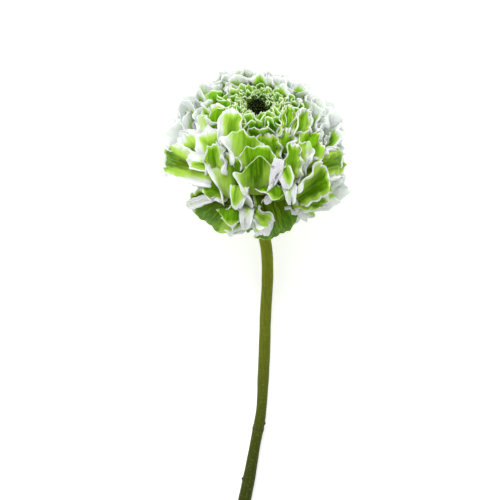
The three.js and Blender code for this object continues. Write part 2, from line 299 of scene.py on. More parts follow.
def tissue(petal, reach, fold, u, t):
    """The folds, curled sides and rolled tip of a petal, before it is set in its place: how far up the petal
    each point is, how far aside, outwards and onwards it is moved, and how deep in the white margin it is."""
    count = len(u) - 1
    drift = petal["drift"]
    frill = petal["frill"] * (np.sin(8 * u + drift) + 0.6 * np.sin(15 * u + 2 * drift))
    cleft = petal["cleft"] * np.exp(-(((u - petal["cleft_at"]) / 0.07) ** 2))
    hump = petal["hump"] * (np.cos(2 * pi * u) - 1)
    top = 1 - petal["rounding"] * np.abs(u) ** 2.6 - petal["slant"] * u + hump - frill - cleft
    v = t * top
    half = 0.5 * petal["width"] * mix(petal["base"], 1, np.clip(v, 0, 1.3) ** 0.7)
    from_top = (1 - t) * top * reach * STRETCH
    from_left, from_right = (1 + u) * half, (1 - u) * half
    from_side = np.minimum(from_left, from_right)

    fold = fold + 0.5 * np.sin(0.45 * fold + drift)
    swing = petal["ruffle"] * (1 + 0.3 * np.sin(0.37 * fold + 2 * drift))
    swing = swing * ease(v, petal["smooth"], 1.0) ** 0.9
    curled = petal["curl_share"] * np.sin(pi * np.clip(0.1 + 0.85 * v, 0, 1)) ** 0.7 + 0.02
    curl = np.where(u < 0, -petal["curl"][0], petal["curl"][1])
    curl = curl * ease(np.abs(u), 1 - curled, 1 - 0.4 * curled)
    curl = curl * ease(v, 0, 0.5) * mix(1, 0.5, ease(v, 0.7, 1))

    def summed(values):
        steps = 0.5 * (values[1:] + values[:-1]) * (2 / count)
        total = np.concatenate([0 * values[:1], np.cumsum(steps, axis=0)])
        return total - total[count // 2]

    plain = swing * np.sin(fold)
    level = summed(np.sin(plain) * half).mean(axis=0)
    aside = summed(np.cos(plain + curl) * half)
    out = summed(np.sin(plain + curl) * half) - level
    near = ease(np.minimum(from_top, from_side), CRIMPED_WITHIN, 0)
    out = out + petal["crimp"] * near * np.sin(2.9 * fold + drift) + petal["tilt"] * aside * v
    out = out + petal["pleat"] * np.sin(26 * u + drift) * ease(v, 0, 0.4) * (1 - 0.6 * near)
    side = np.sign(u)
    ripple = reach * v * (1.05 + 0.12 * side) + petal["phase"] + 2 * side + drift
    wavy = petal["side_ruffle"] * ease(from_side, RIPPLED_WITHIN, 0) * ease(v, 0.05, 0.4)
    out = out + wavy * np.sin(ripple)
    aside = aside + 0.6 * wavy * side * np.cos(ripple + 0.6)

    roll = petal["roll"] * (0.8 + 0.3 * np.sin(0.6 * fold + 3 * drift))
    roll = np.where(np.abs(roll) < LEAST_ROLL, LEAST_ROLL, roll)
    arc = np.clip(petal["lip"] - from_top, 0, None)
    bend = petal["lip"] / roll
    onward = bend * np.sin(arc / bend) - arc
    out = out + bend * (1 - np.cos(arc / bend))
    white_top, white_left, white_right = petal["white"]
    white_top = white_top * (1 + 0.6 * np.sin(0.5 * fold + 5 * drift))
    edge = np.minimum(past_white(from_left, white_left), past_white(from_right, white_right))
    edge = np.minimum(past_white(from_top, white_top), edge)
    return v, aside + petal["sway"] * v ** 2, out, onward, edge


def grid_of(petal):
    """Where each vertex is: u from -1 to 1 across the petal, t from 0 to 1 along it, denser at the tip."""
    across, along = petal["cells"]
    u = np.linspace(-1, 1, across + 1)[:, None] * np.ones(along + 1)
    t = 1 - (1 - np.ones((across + 1, 1)) * np.linspace(0, 1, along + 1)) ** 1.3
    return u, t


def painted(petal, u, v, reach, edge):
    """What the paint needs at each vertex: the margin, the place across, and how far it is below the tip."""
    below = (v.max(axis=1, keepdims=True) - v) * reach
    return {"edge": edge, "across": 0.5 * petal["width"] * u, "below": below}


def ball_petal(petal):
    """A petal that stands on the ball of the bloom, wrapped round its axis."""
    u, t = grid_of(petal)
    reach = np.hypot(petal["tip"][0] - petal["root"][0], petal["tip"][1] - petal["root"][1])
    tip_radius = max(petal["tip"][0], petal["wrap"])
    turned_to = petal["azimuth"] + 0.4 * petal["width"] * u / tip_radius
    fold = petal["folds"] * folds_at(turned_to) + petal["phase"]
    v, aside, out, onward, edge = tissue(petal, reach, fold, u, t)
    place, heading = along_profile(petal["root"], petal["root_slope"], petal["tip"], petal["tip_slope"], v)
    azimuth = petal["azimuth"] + aside / np.maximum(place[..., 0], petal["wrap"])
    radius = place[..., 0] + out * heading[..., 1] + onward * heading[..., 0]
    height = place[..., 1] - out * heading[..., 0] + onward * heading[..., 1]
    points = pressed(spread(in_world(radius * np.cos(azimuth), radius * np.sin(azimuth), height)))
    return points, painted(petal, u, v, reach, edge)


AXES = np.array([
    [1, 0, 0],
    [0, cos(BLOOM_LEAN), -sin(BLOOM_LEAN)],
    [0, sin(BLOOM_LEAN), cos(BLOOM_LEAN)],
])
SHELL_SHARE = 0.935
SHELL = SHELL_SHARE * np.array([BLOOM_RADIUS, BLOOM_RADIUS, BLOOM_HALF_HEIGHT])
ROOT_DEPTH = 9


def on_shell(x, y, out):
    """The place on the bloom's shell that the camera sees x mm to the right of and y mm above its centre,
    moved out from the shell, and the direction that points straight out of the shell there."""
    eye_at = np.array([CAMERA_ASIDE[0], CAMERA_ASIDE[1], CAMERA_HEIGHT - BLOOM_CENTRE[2]])
    start, ray = AXES @ eye_at / SHELL, AXES @ (np.array([x, y, 0]) - eye_at) / SHELL
    a, b, c = ray @ ray, ray @ start, start @ start - 1
    reached = (-b - sqrt(max(b * b - a * c, 0))) / a
    place = start + reached * ray
    direction = AXES.T @ (place / SHELL)
    direction = direction / np.linalg.norm(direction)
    return AXES.T @ (place * SHELL) + np.array(BLOOM_CENTRE) + out * direction, direction


def laid_petal(petal):
    """A petal whose middle line runs over the shell between two places, both given as they are seen."""
    u, t = grid_of(petal)
    base, tip = np.array(petal["start"], float), np.array(petal["end"], float)
    knots, outwards = [], []
    for share in (0, 0.33, 0.67, 1):
        place, direction = on_shell(*mix(base, tip, share))
        knots.append(place + petal["bulge"] * sin(pi * share) * direction)
        outwards.append(mix(direction, np.array([0, 0, 1]), petal["facing"]))
    onward_first = knots[1] - knots[0]
    knots.insert(0, knots[0] - ROOT_DEPTH * outwards[0] - 0.5 * onward_first)
    outwards.insert(0, outwards[0])
    steps = np.concatenate([[0], np.cumsum(np.linalg.norm(np.diff(knots, axis=0), axis=1))])
    reach = steps[-1]
    fine = np.linspace(0, 1, 60)
    line = smooth_line(np.array(knots), steps / reach, fine)
    towards = np.stack([np.interp(fine, steps / reach, np.array(outwards)[:, k]) for k in range(3)], axis=-1)
    heading = np.gradient(line, axis=0)
    heading /= np.linalg.norm(heading, axis=-1, keepdims=True)
    towards -= (towards * heading).sum(-1, keepdims=True) * heading
    towards /= np.linalg.norm(towards, axis=-1, keepdims=True)
    side = np.cross(heading, towards)

    v, aside, out, onward, edge = tissue(petal, reach, pi * petal["waves"] * u + petal["phase"], u, t)

    def at(values):
        """The values along the line at each v, carried straight on past its end."""
        beyond = (v - 1).clip(0)[..., None] * (values[-1] - values[-2]) / (fine[-1] - fine[-2])
        return np.stack([np.interp(v, fine, values[:, k]) for k in range(3)], axis=-1) + beyond

    out = out - aside ** 2 / (2 * petal["cup"])
    points = at(line) + aside[..., None] * at(side)
    points = points + out[..., None] * at(towards) + onward[..., None] * at(heading)
    return pressed(points), painted(petal, u, v, reach, edge)


def smooth_line(knots, places, fine):
    """A smooth curve through the knots."""
    slopes = np.gradient(knots, places, axis=0)
    k = np.clip(np.searchsorted(places, fine, side="right") - 1, 0, len(places) - 2)
    width = (places[k + 1] - places[k])[:, None]
    s = (fine[:, None] - places[k][:, None]) / width
    return ((1 + 2 * s) * (1 - s) ** 2 * knots[k] + s * (1 - s) ** 2 * width * slopes[k]
            + s ** 2 * (3 - 2 * s) * knots[k + 1] + s ** 2 * (s - 1) * width * slopes[k + 1])


def blade(points, thickness):
    """A closed thin blade round a grid of points: its vertices and faces."""
    across = np.gradient(points, axis=0)
    along = np.gradient(points, axis=1)
    normal = np.cross(across, along)
    normal /= np.linalg.norm(normal, axis=-1, keepdims=True) + 1e-9
    vertices = np.concatenate([(points + side * thickness * normal).reshape(-1, 3) for side in (0.5, -0.5)])
    index = np.arange(points[..., 0].size).reshape(points.shape[:2])
    a, b, c, d = index[:-1, :-1], index[1:, :-1], index[1:, 1:], index[:-1, 1:]
    front = np.stack([a, b, c, d], axis=-1).reshape(-1, 4)
    back = front[:, ::-1] + index.size
    loop = np.concatenate([index[:-1, 0], index[-1, :-1], index[:0:-1, -1], index[0, :0:-1]])
    after = np.roll(loop, -1)
    rim = np.stack([after, loop, loop + index.size, after + index.size], axis=-1)
    return vertices, np.concatenate([front, back, rim])


def mesh_from(name, vertices, faces, values):
    """A smooth mesh of quads, in metres, with a named value at each vertex for each entry of values."""
    mesh = bpy.data.meshes.new(name)
    mesh.vertices.add(len(vertices))
    mesh.vertices.foreach_set("co", (vertices * MM).astype(np.float32).ravel())
    mesh.loops.add(faces.size)
    mesh.loops.foreach_set("vertex_index", faces.astype(np.int32).ravel())
    mesh.polygons.add(len(faces))
    mesh.polygons.foreach_set("loop_start", np.arange(0, faces.size, 4, dtype=np.int32))
    mesh.polygons.foreach_set("loop_total", np.full(len(faces), 4, dtype=np.int32))
    mesh.polygons.foreach_set("use_smooth", np.ones(len(faces), dtype=bool))
    for key, numbers in values.items():
        mesh.attributes.new(key, "FLOAT", "POINT").data.foreach_set("value", numbers.astype(np.float32))
    mesh.update(calc_edges=True)
    mesh.validate()
    return mesh


def petals_object(name, petals, thickness):
    """One object of many petals, each a closed blade."""
    parts, faces, first = [], [], 0
    values = {"edge": [], "across": [], "below": [], "tone": []}
    for changes in petals:
        petal = {**PETAL, **changes}
        points, grids = laid_petal(petal) if "start" in petal else ball_petal(petal)
        vertices, quads = blade(points, thickness)
        parts.append(vertices)
        faces.append(quads + first)
        first += len(vertices)
        for key, grid in grids.items():
            values[key] += [grid.ravel(), grid.ravel()]
        values["tone"].append(np.full(len(vertices), petal["tone"]))
    joined = {key: np.concatenate(lists) for key, lists in values.items()}
    return add_object(name, mesh_from(name, np.concatenate(parts), np.concatenate(faces), joined))


core_points = np.array(CORE_PROFILE, float)
core_steps = np.concatenate([[0], np.cumsum(np.linalg.norm(np.diff(core_points, axis=0), axis=1))])


def on_core(share):
    """A place on the core's side, as radius and height, by its share of the way from the top to the neck."""
    at = share * core_steps[-1]
    return (np.interp(at, core_steps, core_points[:, 0]), np.interp(at, core_steps, core_points[:, 1]))


# The tips of the ball's petals lie between these angles from its axis, this far apart at the first and last.
LARGE_FROM = radians(27)
LARGE_TO = radians(118)
LARGE_SPACING = (6.4, 16)
COMES_THROUGH = 7


def shell_petal(azimuth, angle, seed):
    """A large petal whose tip lies on the bloom's shell, that many radians from the axis. It is paler and
    more open towards the rim, and greener, steeper and set further in at the front of the bloom."""
    share = max(0, (angle - LARGE_FROM) / (LARGE_TO - LARGE_FROM))
    front = (0.5 - 0.5 * sin(azimuth)) ** 1.5
    swell = mix(0.96, 1.08, chance(seed, 1))
    swell = swell - 0.24 * front * ease(share, 0.02, 0.15) * ease(share, 1.0, 0.8)
    swell = swell + 0.04 * (1 - front) * ease(share, 0.5, 0)
    pale = mix(14 + 7 * cos(azimuth) ** 2, 1.4, front) * mix(0.7, 1.3, chance(seed, 11))
    upright = mix(mix(62, 78, chance(seed, 2)), mix(86, 104, chance(seed, 2)), front)
    steep = mix(95, upright, ease(share, 0, 0.25))
    turns_white_at = mix(-0.12, -0.35, ease(sin(azimuth), 0.2, 0.8))
    side_white = mix(0.7, 0.6 * pale, ease(share, 0, 0.4))
    return dict(
        azimuth=azimuth,
        root=on_core(mix(0.02, 0.88, share)),
        root_slope=mix(radians(84), radians(-5), share ** 1.1),
        tip=(swell * BLOOM_RADIUS * sin(angle), swell * BLOOM_HALF_HEIGHT * cos(angle)),
        tip_slope=radians(mix(steep, -52, ease(share, mix(0.35, 0.5, front), 0.92))),
        phase=1.6 * chance(seed, 4),
        drift=2 * pi * chance(seed, 5),
        ruffle=mix(mix(1.05, 0.75, ease(share, 0.1, 0.5)), 0.8, front) * mix(0.8, 1.15, chance(seed, 6)),
        curl=(mix(0.1, 1.2, chance(seed, 12)), mix(0.1, 1.2, chance(seed, 13))),
        lip=mix(1.5, 4, share),
        roll=mix(0.2, 1.3, chance(seed, 7)),
        tilt=mix(-0.15, 0.15, chance(seed, 14)),
        sway=mix(-2, 2, chance(seed, 15)),
        cleft=0.14 if chance(seed, 8) > 0.7 else 0,
        cleft_at=mix(-0.6, 0.6, chance(seed, 9)),
        # Petals towards the back and sides get a lighter green: painted light, lifting the shade between the
        # pale rim petals.
        tone=mix(0.4, 0.9, chance(seed, 10)) + mix(0.8, 0.4, ease(share, 0, 0.4)) * (1 - front),
        white=(mix(0.8, pale, ease(share, turns_white_at, 0.35)), side_white, side_white),
    )


def large_petals():
    """The petals of the ball, in a golden-angle spiral from its top to its underside. They are left out
    where the petals in front are laid instead, and so is one that would come through those."""
    petals = []
    angle, i = LARGE_FROM, 0
    while angle < LARGE_TO:
        azimuth = i * GOLDEN_ANGLE
        share = (angle - LARGE_FROM) / (LARGE_TO - LARGE_FROM)
        spacing = mix(*LARGE_SPACING, share ** 0.7)
        behind_front = sin(azimuth) < -0.4 and 0.2 < share < 0.75
        if not behind_front and i != COMES_THROUGH:
            width = spacing * mix(2.1, 2.8, chance(i, 3))
            petals.append(dict(shell_petal(azimuth, angle, i), width=width))
        around = 2 * pi * BLOOM_RADIUS * sin(angle)
        down = np.hypot(BLOOM_RADIUS * cos(angle), BLOOM_HALF_HEIGHT * sin(angle))
        angle += spacing ** 2 / (around * down)
        i += 1
    return petals


VEIN_DEPTH = 0.4


def petal_paint(name, scale, root, deep, fresh, near_white, veined_white, white):
    """Green tissue with fine darker veins, feathering out into a white margin. The scale is that of the
    veins; the green is deepest at the root and freshest at the tip: painted shade, darker the further the
    tissue lies below the tip, down between the other petals."""
    material, shader, start = new_material(
        name, Roughness=0.5, Specular_IOR_Level=0.03,
        Subsurface_Weight=0.9, Subsurface_Radius=(0.9, 1.0, 0.85), Subsurface_Scale=1 * MM,
    )
    edge, across, below, tone = (start.attribute(key) for key in ("edge", "across", "below", "tone"))
    place = start.node("ShaderNodeCombineXYZ", X=across, Y=below * 0.12, Z=tone * 40)
    veins = start.node("ShaderNodeTexNoise", Vector=place, Scale=scale, Detail=3, Roughness=0.65)
    patches = start.node("ShaderNodeTexNoise", Vector=place, Scale=scale * 0.25, Detail=1)
    blurred = edge + (veins - 0.5) * 1.1 + (patches - 0.5) * 1.6
    # Painted shade: the green darkens the further the tissue lies below the tip; the petal's tone lightens or
    # darkens it.
    light = 0.84 - below * 0.045 + (patches - 0.5) * 0.9 + (tone - 0.5) * 0.6
    green = light.step(0, 1).between(deep, fresh)
    # Painted shade: deep below the tip the green goes over into the dark root colour, less on lighter-toned
    # petals.
    green = (below.step(13, 26) * (1.5 - tone)).between(green, root)
    green = (veins.step(0.5, 0.62) * 0.6).between(green, deep)
    green = ((1 - veins).step(0.5, 0.6) * 0.45).between(green, fresh)
    green = blurred.step(1, 3).between(near_white, green)
    veined = (veins.step(0.45, 0.65) * 0.5).between(white, veined_white)
    feed(blurred.step(0.35, 1.15).between(veined, green), shader, "Base Color")
    bump = start.node("ShaderNodeBump", Strength=0.3, Distance=VEIN_DEPTH * MM, Height=veins)
    feed(bump, shader, "Normal")
    return material


# The root colour of the ruffled petals is a painted shade: the dark olive that fills the depths between them.
large_paint = petal_paint(
    "ruffled_petal", scale=0.8,
    root=(0.08, 0.13, 0.002), deep=(0.055, 0.145, 0.001), fresh=(0.18, 0.4, 0.007),
    near_white=(0.37, 0.6, 0.07), veined_white=(0.62, 0.7, 0.56), white=(0.75, 0.79, 0.785),
)

# Back petals fill the far side between the heart and the rim. They lie further open than others.
BACK_PETALS = 14
back_petals = []
for k in range(BACK_PETALS):
    azimuth = radians(mix(25, 155, (k + mix(0.2, 0.8, chance(k, 50))) / BACK_PETALS))
    one = shell_petal(azimuth, radians(mix(20, 40, (k * 0.618) % 1)), 300 + k)
    back_petals.append(dict(
        one,
        width=mix(13, 20, chance(k, 51)),
        tip_slope=radians(mix(50, 72, chance(k, 52))),
        white=(mix(4, 6.5, chance(k, 53)), *one["white"][1:]),
        # Their green is lightest of all: painted light, lifting the shade between the petals at the rim.
        ruffle=0.8, crimp=0.6, tone=1,
    ))

# Guard petals are the oldest and lowest, spread flat under the ball just above the calyx.
GUARD_PETALS = 9
guard_petals = []
for k in range(GUARD_PETALS):
    azimuth = 2 * pi * (k + mix(-0.2, 0.2, chance(k, 54))) / GUARD_PETALS + 0.3
    one = shell_petal(azimuth, LARGE_TO, 400 + k)
    guard_petals.append(dict(
        one,
        root=(8, -20.9), root_slope=radians(32),
        tip=(mix(32, 35, chance(k, 55)), -15), tip_slope=radians(-18),
        width=30, base=0.3, roll=0.4, smooth=0.3,
    ))

# The ball is kept as three objects, from its top to its underside, so that none grows too large.
all_large = back_petals + large_petals() + guard_petals
count = len(all_large)
split = (0, int(count * 0.36), int(count * 0.68), count)
for name, first, last in zip(("upper_petals", "middle_petals", "lower_petals"), split, split[1:]):
    piece = petals_object(name, all_large[first:last], PETAL_THICKNESS)
    piece.data.materials.append(large_paint)
    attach(piece, "root")
    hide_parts("large_petals")

# The petals in front: the large ones that the photo shows best, grown and ruffled as the others are. Each is
# given by where the middle line of its open part starts and ends, in mm to the right of and above the bloom's
# centre as seen, and out from its shell. The line bows out by bulge, facing turns the petal to the camera,
# cup is the radius that its sides bend back round, and waves are the folds across it. Folds and frills drift
# on by a step from each petal to the next.
DRIFT_STEP = 2.4
FRONT = dict(bulge=1, facing=0, cup=24, waves=1.5, cells=(48, 26), white=(0.9, 2, 2), frill=0.022,
             smooth=0.4, crimp=0.6, side_ruffle=1.1)
# Tips that hang down over the petals below are smoother, and turn more towards the camera.
HANGING = dict(base=1.1, rounding=0.55, ruffle=0.7, waves=1.8, white=(0.9, 0.9, 0.9), roll=0.4,
               curl=(0.5, 0.5), facing=0.3, crimp=0.2, side_ruffle=0.15, frill=0.01, smooth=0.5, cup=14,
               cells=(34, 20))
front_petals = [
    dict(start=(-6, -6, -1), end=(-4.5, 8.5, 4), width=29, slant=0.12, curl=(2.5, 0.3), curl_share=0.6,
         white=(0.3, 8, 6), ruffle=0.8, waves=2.2, phase=2, roll=0.3, tone=0.15, frill=0.035),
    dict(start=(1, -14, -3), end=(0.5, 3, 5.5), width=25, curl=(1.8, 0.8), white=(0.5, 3.5, 3), waves=3.2,
         phase=0.5, roll=0.6, tone=0.6),
    dict(start=(1, -18, -1.5), end=(0.5, -2, 7), width=36, base=0.12, hump=0.05, slant=-0.05,
         curl=(2.5, 2.6), curl_share=0.65, white=(0.3, 7, 9), ruffle=0.6, waves=2.6, phase=0.3, roll=0.5,
         tone=-0.8),
    dict(start=(9.5, -21, -1), end=(9.3, -12.2, 3), width=17, base=0.5, curl=(0.3, 0.3), ruffle=0.7,
         waves=2.6, phase=2.6, roll=0.6, white=(0.9, 1, 1), tone=0, rounding=0.45, side_ruffle=0.2),
    dict(HANGING, start=(8.3, -13.5, 4.5), end=(8, -16.7, 6), width=22, white=(0.8, 0.9, 0.9), phase=2.6,
         tone=-0.2, base=0.9),
    dict(HANGING, start=(12.7, -13.5, 5.5), end=(13, -19.3, 6.5), width=7, white=(7, 2, 2.5), cleft=0.25,
         cleft_at=-0.1, base=0.7),
    dict(HANGING, start=(-7.2, -14.3, 4.5), end=(-7.6, -21, 6), width=9, white=(4, 2.5, 0.9), phase=1,
         tone=0.2, base=0.7),
    dict(start=(-9, -31, -1), end=(-9.3, -21.3, 3), width=16, base=0.5, curl=(0.3, 0.3), ruffle=0.6,
         waves=2, phase=2, roll=0.4, white=(0.9, 0.8, 0.8), tone=-0.2, rounding=0.4, side_ruffle=0.2),
    dict(HANGING, start=(-9.3, -23.5, 4), end=(-9.3, -26.3, 5.5), width=19, white=(0.8, 0.9, 0.9),
         phase=1.8, tone=-0.1, base=0.9),
    dict(HANGING, start=(-4.3, -23.2, 5), end=(-4.5, -28.3, 6), width=7, white=(7, 2, 2.5), cleft=0.25,
         cleft_at=0.1, phase=1, base=0.7),
    dict(start=(5, -1, -3), end=(3.5, 10, 0), width=17, waves=2.6, phase=1.2, roll=0.5,
         white=(1.2, 1.2, 1.2), tone=0.8),
    dict(start=(13, 2, -4.5), end=(13.5, 12.5, 0), width=12, ruffle=1.1, waves=2.6, phase=2.4, roll=0.6,
         white=(1.6, 1.4, 1.4), tone=1),
    dict(start=(-16, -8, 0), end=(-17, 4.5, 4), width=17, ruffle=1.1, waves=2.6, phase=0.8,
         white=(1.6, 1.5, 5), curl=(0.6, 2.4), curl_share=0.6, tone=0.2),
    dict(start=(-21, -4.5, 1), end=(-28, -2, 4), width=8, base=0.3, rounding=0.15, ruffle=0.35, phase=2,
         white=(4.5, 1, 1), tone=0.2, crimp=0.08, side_ruffle=0.25),
    # The two skirt petals here have a low tone: painted shade, as their faces turn down away from the light.
    dict(start=(-10, -17, -3), end=(-23, -31, 0), width=30, facing=0.7, ruffle=0.35, waves=2.4, cup=50,
         white=(1.5, 5, 0.3), curl=(1.6, 0.3), roll=-0.8, tone=-0.2, pleat=0.35, crimp=0.2, side_ruffle=0.5,
         frill=0.01),
    dict(start=(6, -17, -3), end=(11, -36, 0), width=25, slant=-0.22, facing=0.7, ruffle=0.35, waves=2.6,
         cup=40, white=(0.3, 0.4, 0.3), curl=(0.3, 0.8), roll=-0.6, tone=-0.3, pleat=0.35, crimp=0.2,
         side_ruffle=0.5, frill=0.01),
    dict(start=(14, -22, -2), end=(27.5, -24.5, 0), width=10, facing=0.7, ruffle=0.3, waves=1, cup=60,
         white=(8, 2, 2), curl=(1.6, 0.3), roll=-0.6, tone=0, smooth=0.6),
    # This low petal at the bottom has a low tone too: painted shade on the underside of the ball.
    dict(start=(-1, -27, -3), end=(-1.5, -36, -1.5), width=18, facing=0.6, ruffle=0.4, waves=2.2, cup=30,
         white=(0.8, 0.6, 0.6), curl=(0.2, 0.2), roll=-0.5, tone=-0.4, side_ruffle=0.3),
    dict(HANGING, start=(2.3, -29, 1.5), end=(2.5, -33.8, 2), width=10, white=(7, 2, 2)),
    dict(start=(0, -25.5, 1), end=(6.5, -28.8, 2), width=10, facing=0.5, ruffle=0.3, curl=(2.2, 1.6),
         white=(2, 2, 2.5), tone=0.4),
    dict(start=(-11.5, -19, -0.5), end=(-14.5, 0, 2), width=22, curl=(2.5, 0.1), curl_share=0.6,
         white=(0.9, 7, 1), ruffle=0.4, phase=1, roll=0.5, tone=0, side_ruffle=0.5),
    dict(start=(-20, -9, 0), end=(-41, -1, 1), width=19, facing=0.5, cup=40, ruffle=0.4, waves=2,
         white=(1.2, 3.5, 2.5), curl=(0.8, 0.5), roll=0.3, tone=-0.1, smooth=0.65, side_ruffle=0.3,
         crimp=0.15),
    dict(start=(-21, -6, -2), end=(-36.5, 8.5, -1.5), width=17, facing=0.3, cup=30, ruffle=0.4, waves=2,
         white=(9, 3, 3), curl=(0.4, 0.6), tone=0.3, smooth=0.6, side_ruffle=0.3, crimp=0.15),
    dict(start=(-13.5, -16, -1), end=(-24, -12.5, 0), width=14, facing=0.3, ruffle=0.4, waves=2,
         white=(1.2, 1, 1.2), curl=(0.2, 0.6), roll=0.4, tone=0.1),
    dict(start=(15, -11, 1.5), end=(14, 4, 5), width=12, waves=2, phase=1.4, white=(0.9, 1.8, 1.8),
         curl=(1, 0.6), roll=0.6, tone=0.8),
    dict(start=(19.5, -9, -1), end=(21, 5.5, 2.5), width=10, ruffle=0.4, waves=1.4, phase=0.4,
         white=(0.9, 1.5, 5), curl=(0.4, 2.4), curl_share=0.6, tone=0.4),
    dict(start=(20.5, -3, -1.5), end=(26.5, 9, 0.5), width=22, ruffle=1.1, waves=3, phase=2.2,
         curl=(0.4, 0.6), tone=1),
    dict(start=(22, -8, -1), end=(39, -2, 0), width=16, facing=0.3, ruffle=0.5, waves=2.4,
         white=(2, 2, 2.5), curl=(0.4, 0.6), tone=0.4, smooth=0.6),
    dict(start=(17.3, -18, 0), end=(29.5, -6, 3), width=20, facing=0.2, ruffle=0.5, curl=(2.5, 0.6),
         curl_share=0.6, white=(0.9, 4.5, 1.2), tone=0),
    dict(start=(18, -20, -1), end=(31, -17.5, 1), width=16, facing=0.3, ruffle=0.6, waves=2,
         white=(2, 1.2, 1.2), curl=(0.4, 0.6), tone=0.15),
    dict(start=(27, -17, -2), end=(41, -14, 0), width=18, facing=0.6, cup=50, ruffle=0.6, waves=2.4,
         white=(9, 4, 5), smooth=0.55),
    dict(start=(-13.5, 3, -1.5), end=(-10.4, 18.7, 3), width=13.5, ruffle=0.5, waves=2.6, phase=1,
         curl=(1.4, 0.5), curl_share=0.5, white=(2, 3, 1.5), side_ruffle=0.5, crimp=0.3),
    dict(start=(-20.5, 9, -2), end=(-19.3, 21.5, 1), width=19, ruffle=0.7, waves=2.4, phase=2,
         white=(1.5, 4, 1.2), curl=(0.8, 0.6), side_ruffle=0.6),
    dict(start=(-19.5, -4, -1), end=(-22.5, 12, 0.5), width=15, ruffle=0.4, waves=2.4, phase=2,
         white=(4, 3, 1.5), curl=(0.4, 0.8), tone=0.3, side_ruffle=0.3, crimp=0.15),
    dict(HANGING, start=(10.8, -6, 5), end=(11.6, -13.5, 6.5), width=8, base=0.1, rounding=0.3,
         white=(6, 0.6, 0.6), tone=0.6),
    dict(HANGING, start=(8.4, -3.4, 6.5), end=(5.6, -12.5, 5), width=6, base=0.35, rounding=0.4, roll=0.2,
         white=(12, 5, 5)),
    dict(start=(-15, -16.7, -1), end=(-31.5, -22.2, 1), width=5, facing=0.6, cup=30, ruffle=0.3, waves=1.4,
         white=(12, 4, 4), curl=(0.3, 0.3), roll=-0.4, tone=0.4, smooth=0.6, side_ruffle=0.3, crimp=0.2,
         base=0.6),
    dict(start=(13.5, 8, -2.5), end=(14.5, 21.5, 0.5), width=10, ruffle=0.8, waves=2.4, phase=1,
         white=(1.4, 1.2, 1.2), tone=0.9),
    dict(start=(19, 7, -2), end=(21, 19, 1.5), width=13, ruffle=1.1, waves=3, phase=2,
         white=(2.5, 1.6, 2.5), tone=1),
]
front_petals = [{**FRONT, "drift": DRIFT_STEP * k, **one} for k, one in enumerate(front_petals)]
front = petals_object("front_petals", front_petals, PETAL_THICKNESS)
front.data.materials.append(large_paint)
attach(front, "root")
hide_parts("large_petals")

# The core: the blunt fleshy end of the flower stalk that the petals grow from. It shows only as a dark
# green ground between the roots of the petals, and is turned round the bloom's axis from its profile.
CORE_NECK = [(6.9, -21)]
CORE_TOP = [(14, 19), (5, 19.5)]


def tube_faces(rings, sides):
    """The quads between rings of vertices that follow each other, each with the same number of sides."""
    row = np.arange(rings - 1)[:, None] * sides
    k = np.arange(sides)
    a, b = row + k, row + (k + 1) % sides
    return np.stack([a, b, b + sides, a + sides], axis=-1).reshape(-1, 4)


def turned(name, profile, sides):
    """A closed body of revolution round the bloom's axis, from radius and height pairs."""
    turn = np.arange(sides) * 2 * pi / sides
    radius, height = np.array(profile, float).T[..., None]
    rings = in_world(radius * np.cos(turn), radius * np.sin(turn), height + 0 * turn)
    last = (len(profile) - 1) * sides
    faces = tube_faces(len(profile), sides).tolist()
    faces += [list(range(sides - 1, -1, -1)), list(range(last, last + sides))]
    mesh = bpy.data.meshes.new(name)
    mesh.from_pydata((rings.reshape(-1, 3) * MM).tolist(), [], faces)
    mesh.polygons.foreach_set("use_smooth", np.ones(len(faces), dtype=bool))
    return add_object(name, mesh)


core = turned("core", CORE_NECK + CORE_PROFILE[-2::-1] + CORE_TOP, sides=64)
core_paint, core_shader, start = new_material("core_green", Roughness=0.6)
grain = start.node("ShaderNodeTexNoise", Scale=900, Detail=3)
feed(grain.step(0.3, 0.7).between((0.07, 0.15, 0.02), (0.15, 0.28, 0.04)), core_shader, "Base Color")
core.data.materials.append(core_paint)
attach(core, "root")
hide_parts("large_petals")

# The heart: crowded small green petals with thin pale edges, standing like rows of scales round the eye.
# They are the youngest petals, still short and close, and grow larger and looser outwards.
HEART_RADIUS = 16.4
EYE_RADIUS = 4.6
HEART_FLOOR = 18.5
HEART_THICKNESS = 0.22
HEART_SPACING = (1.4, 4.3)
OPEN_TOWARDS = radians(-65)


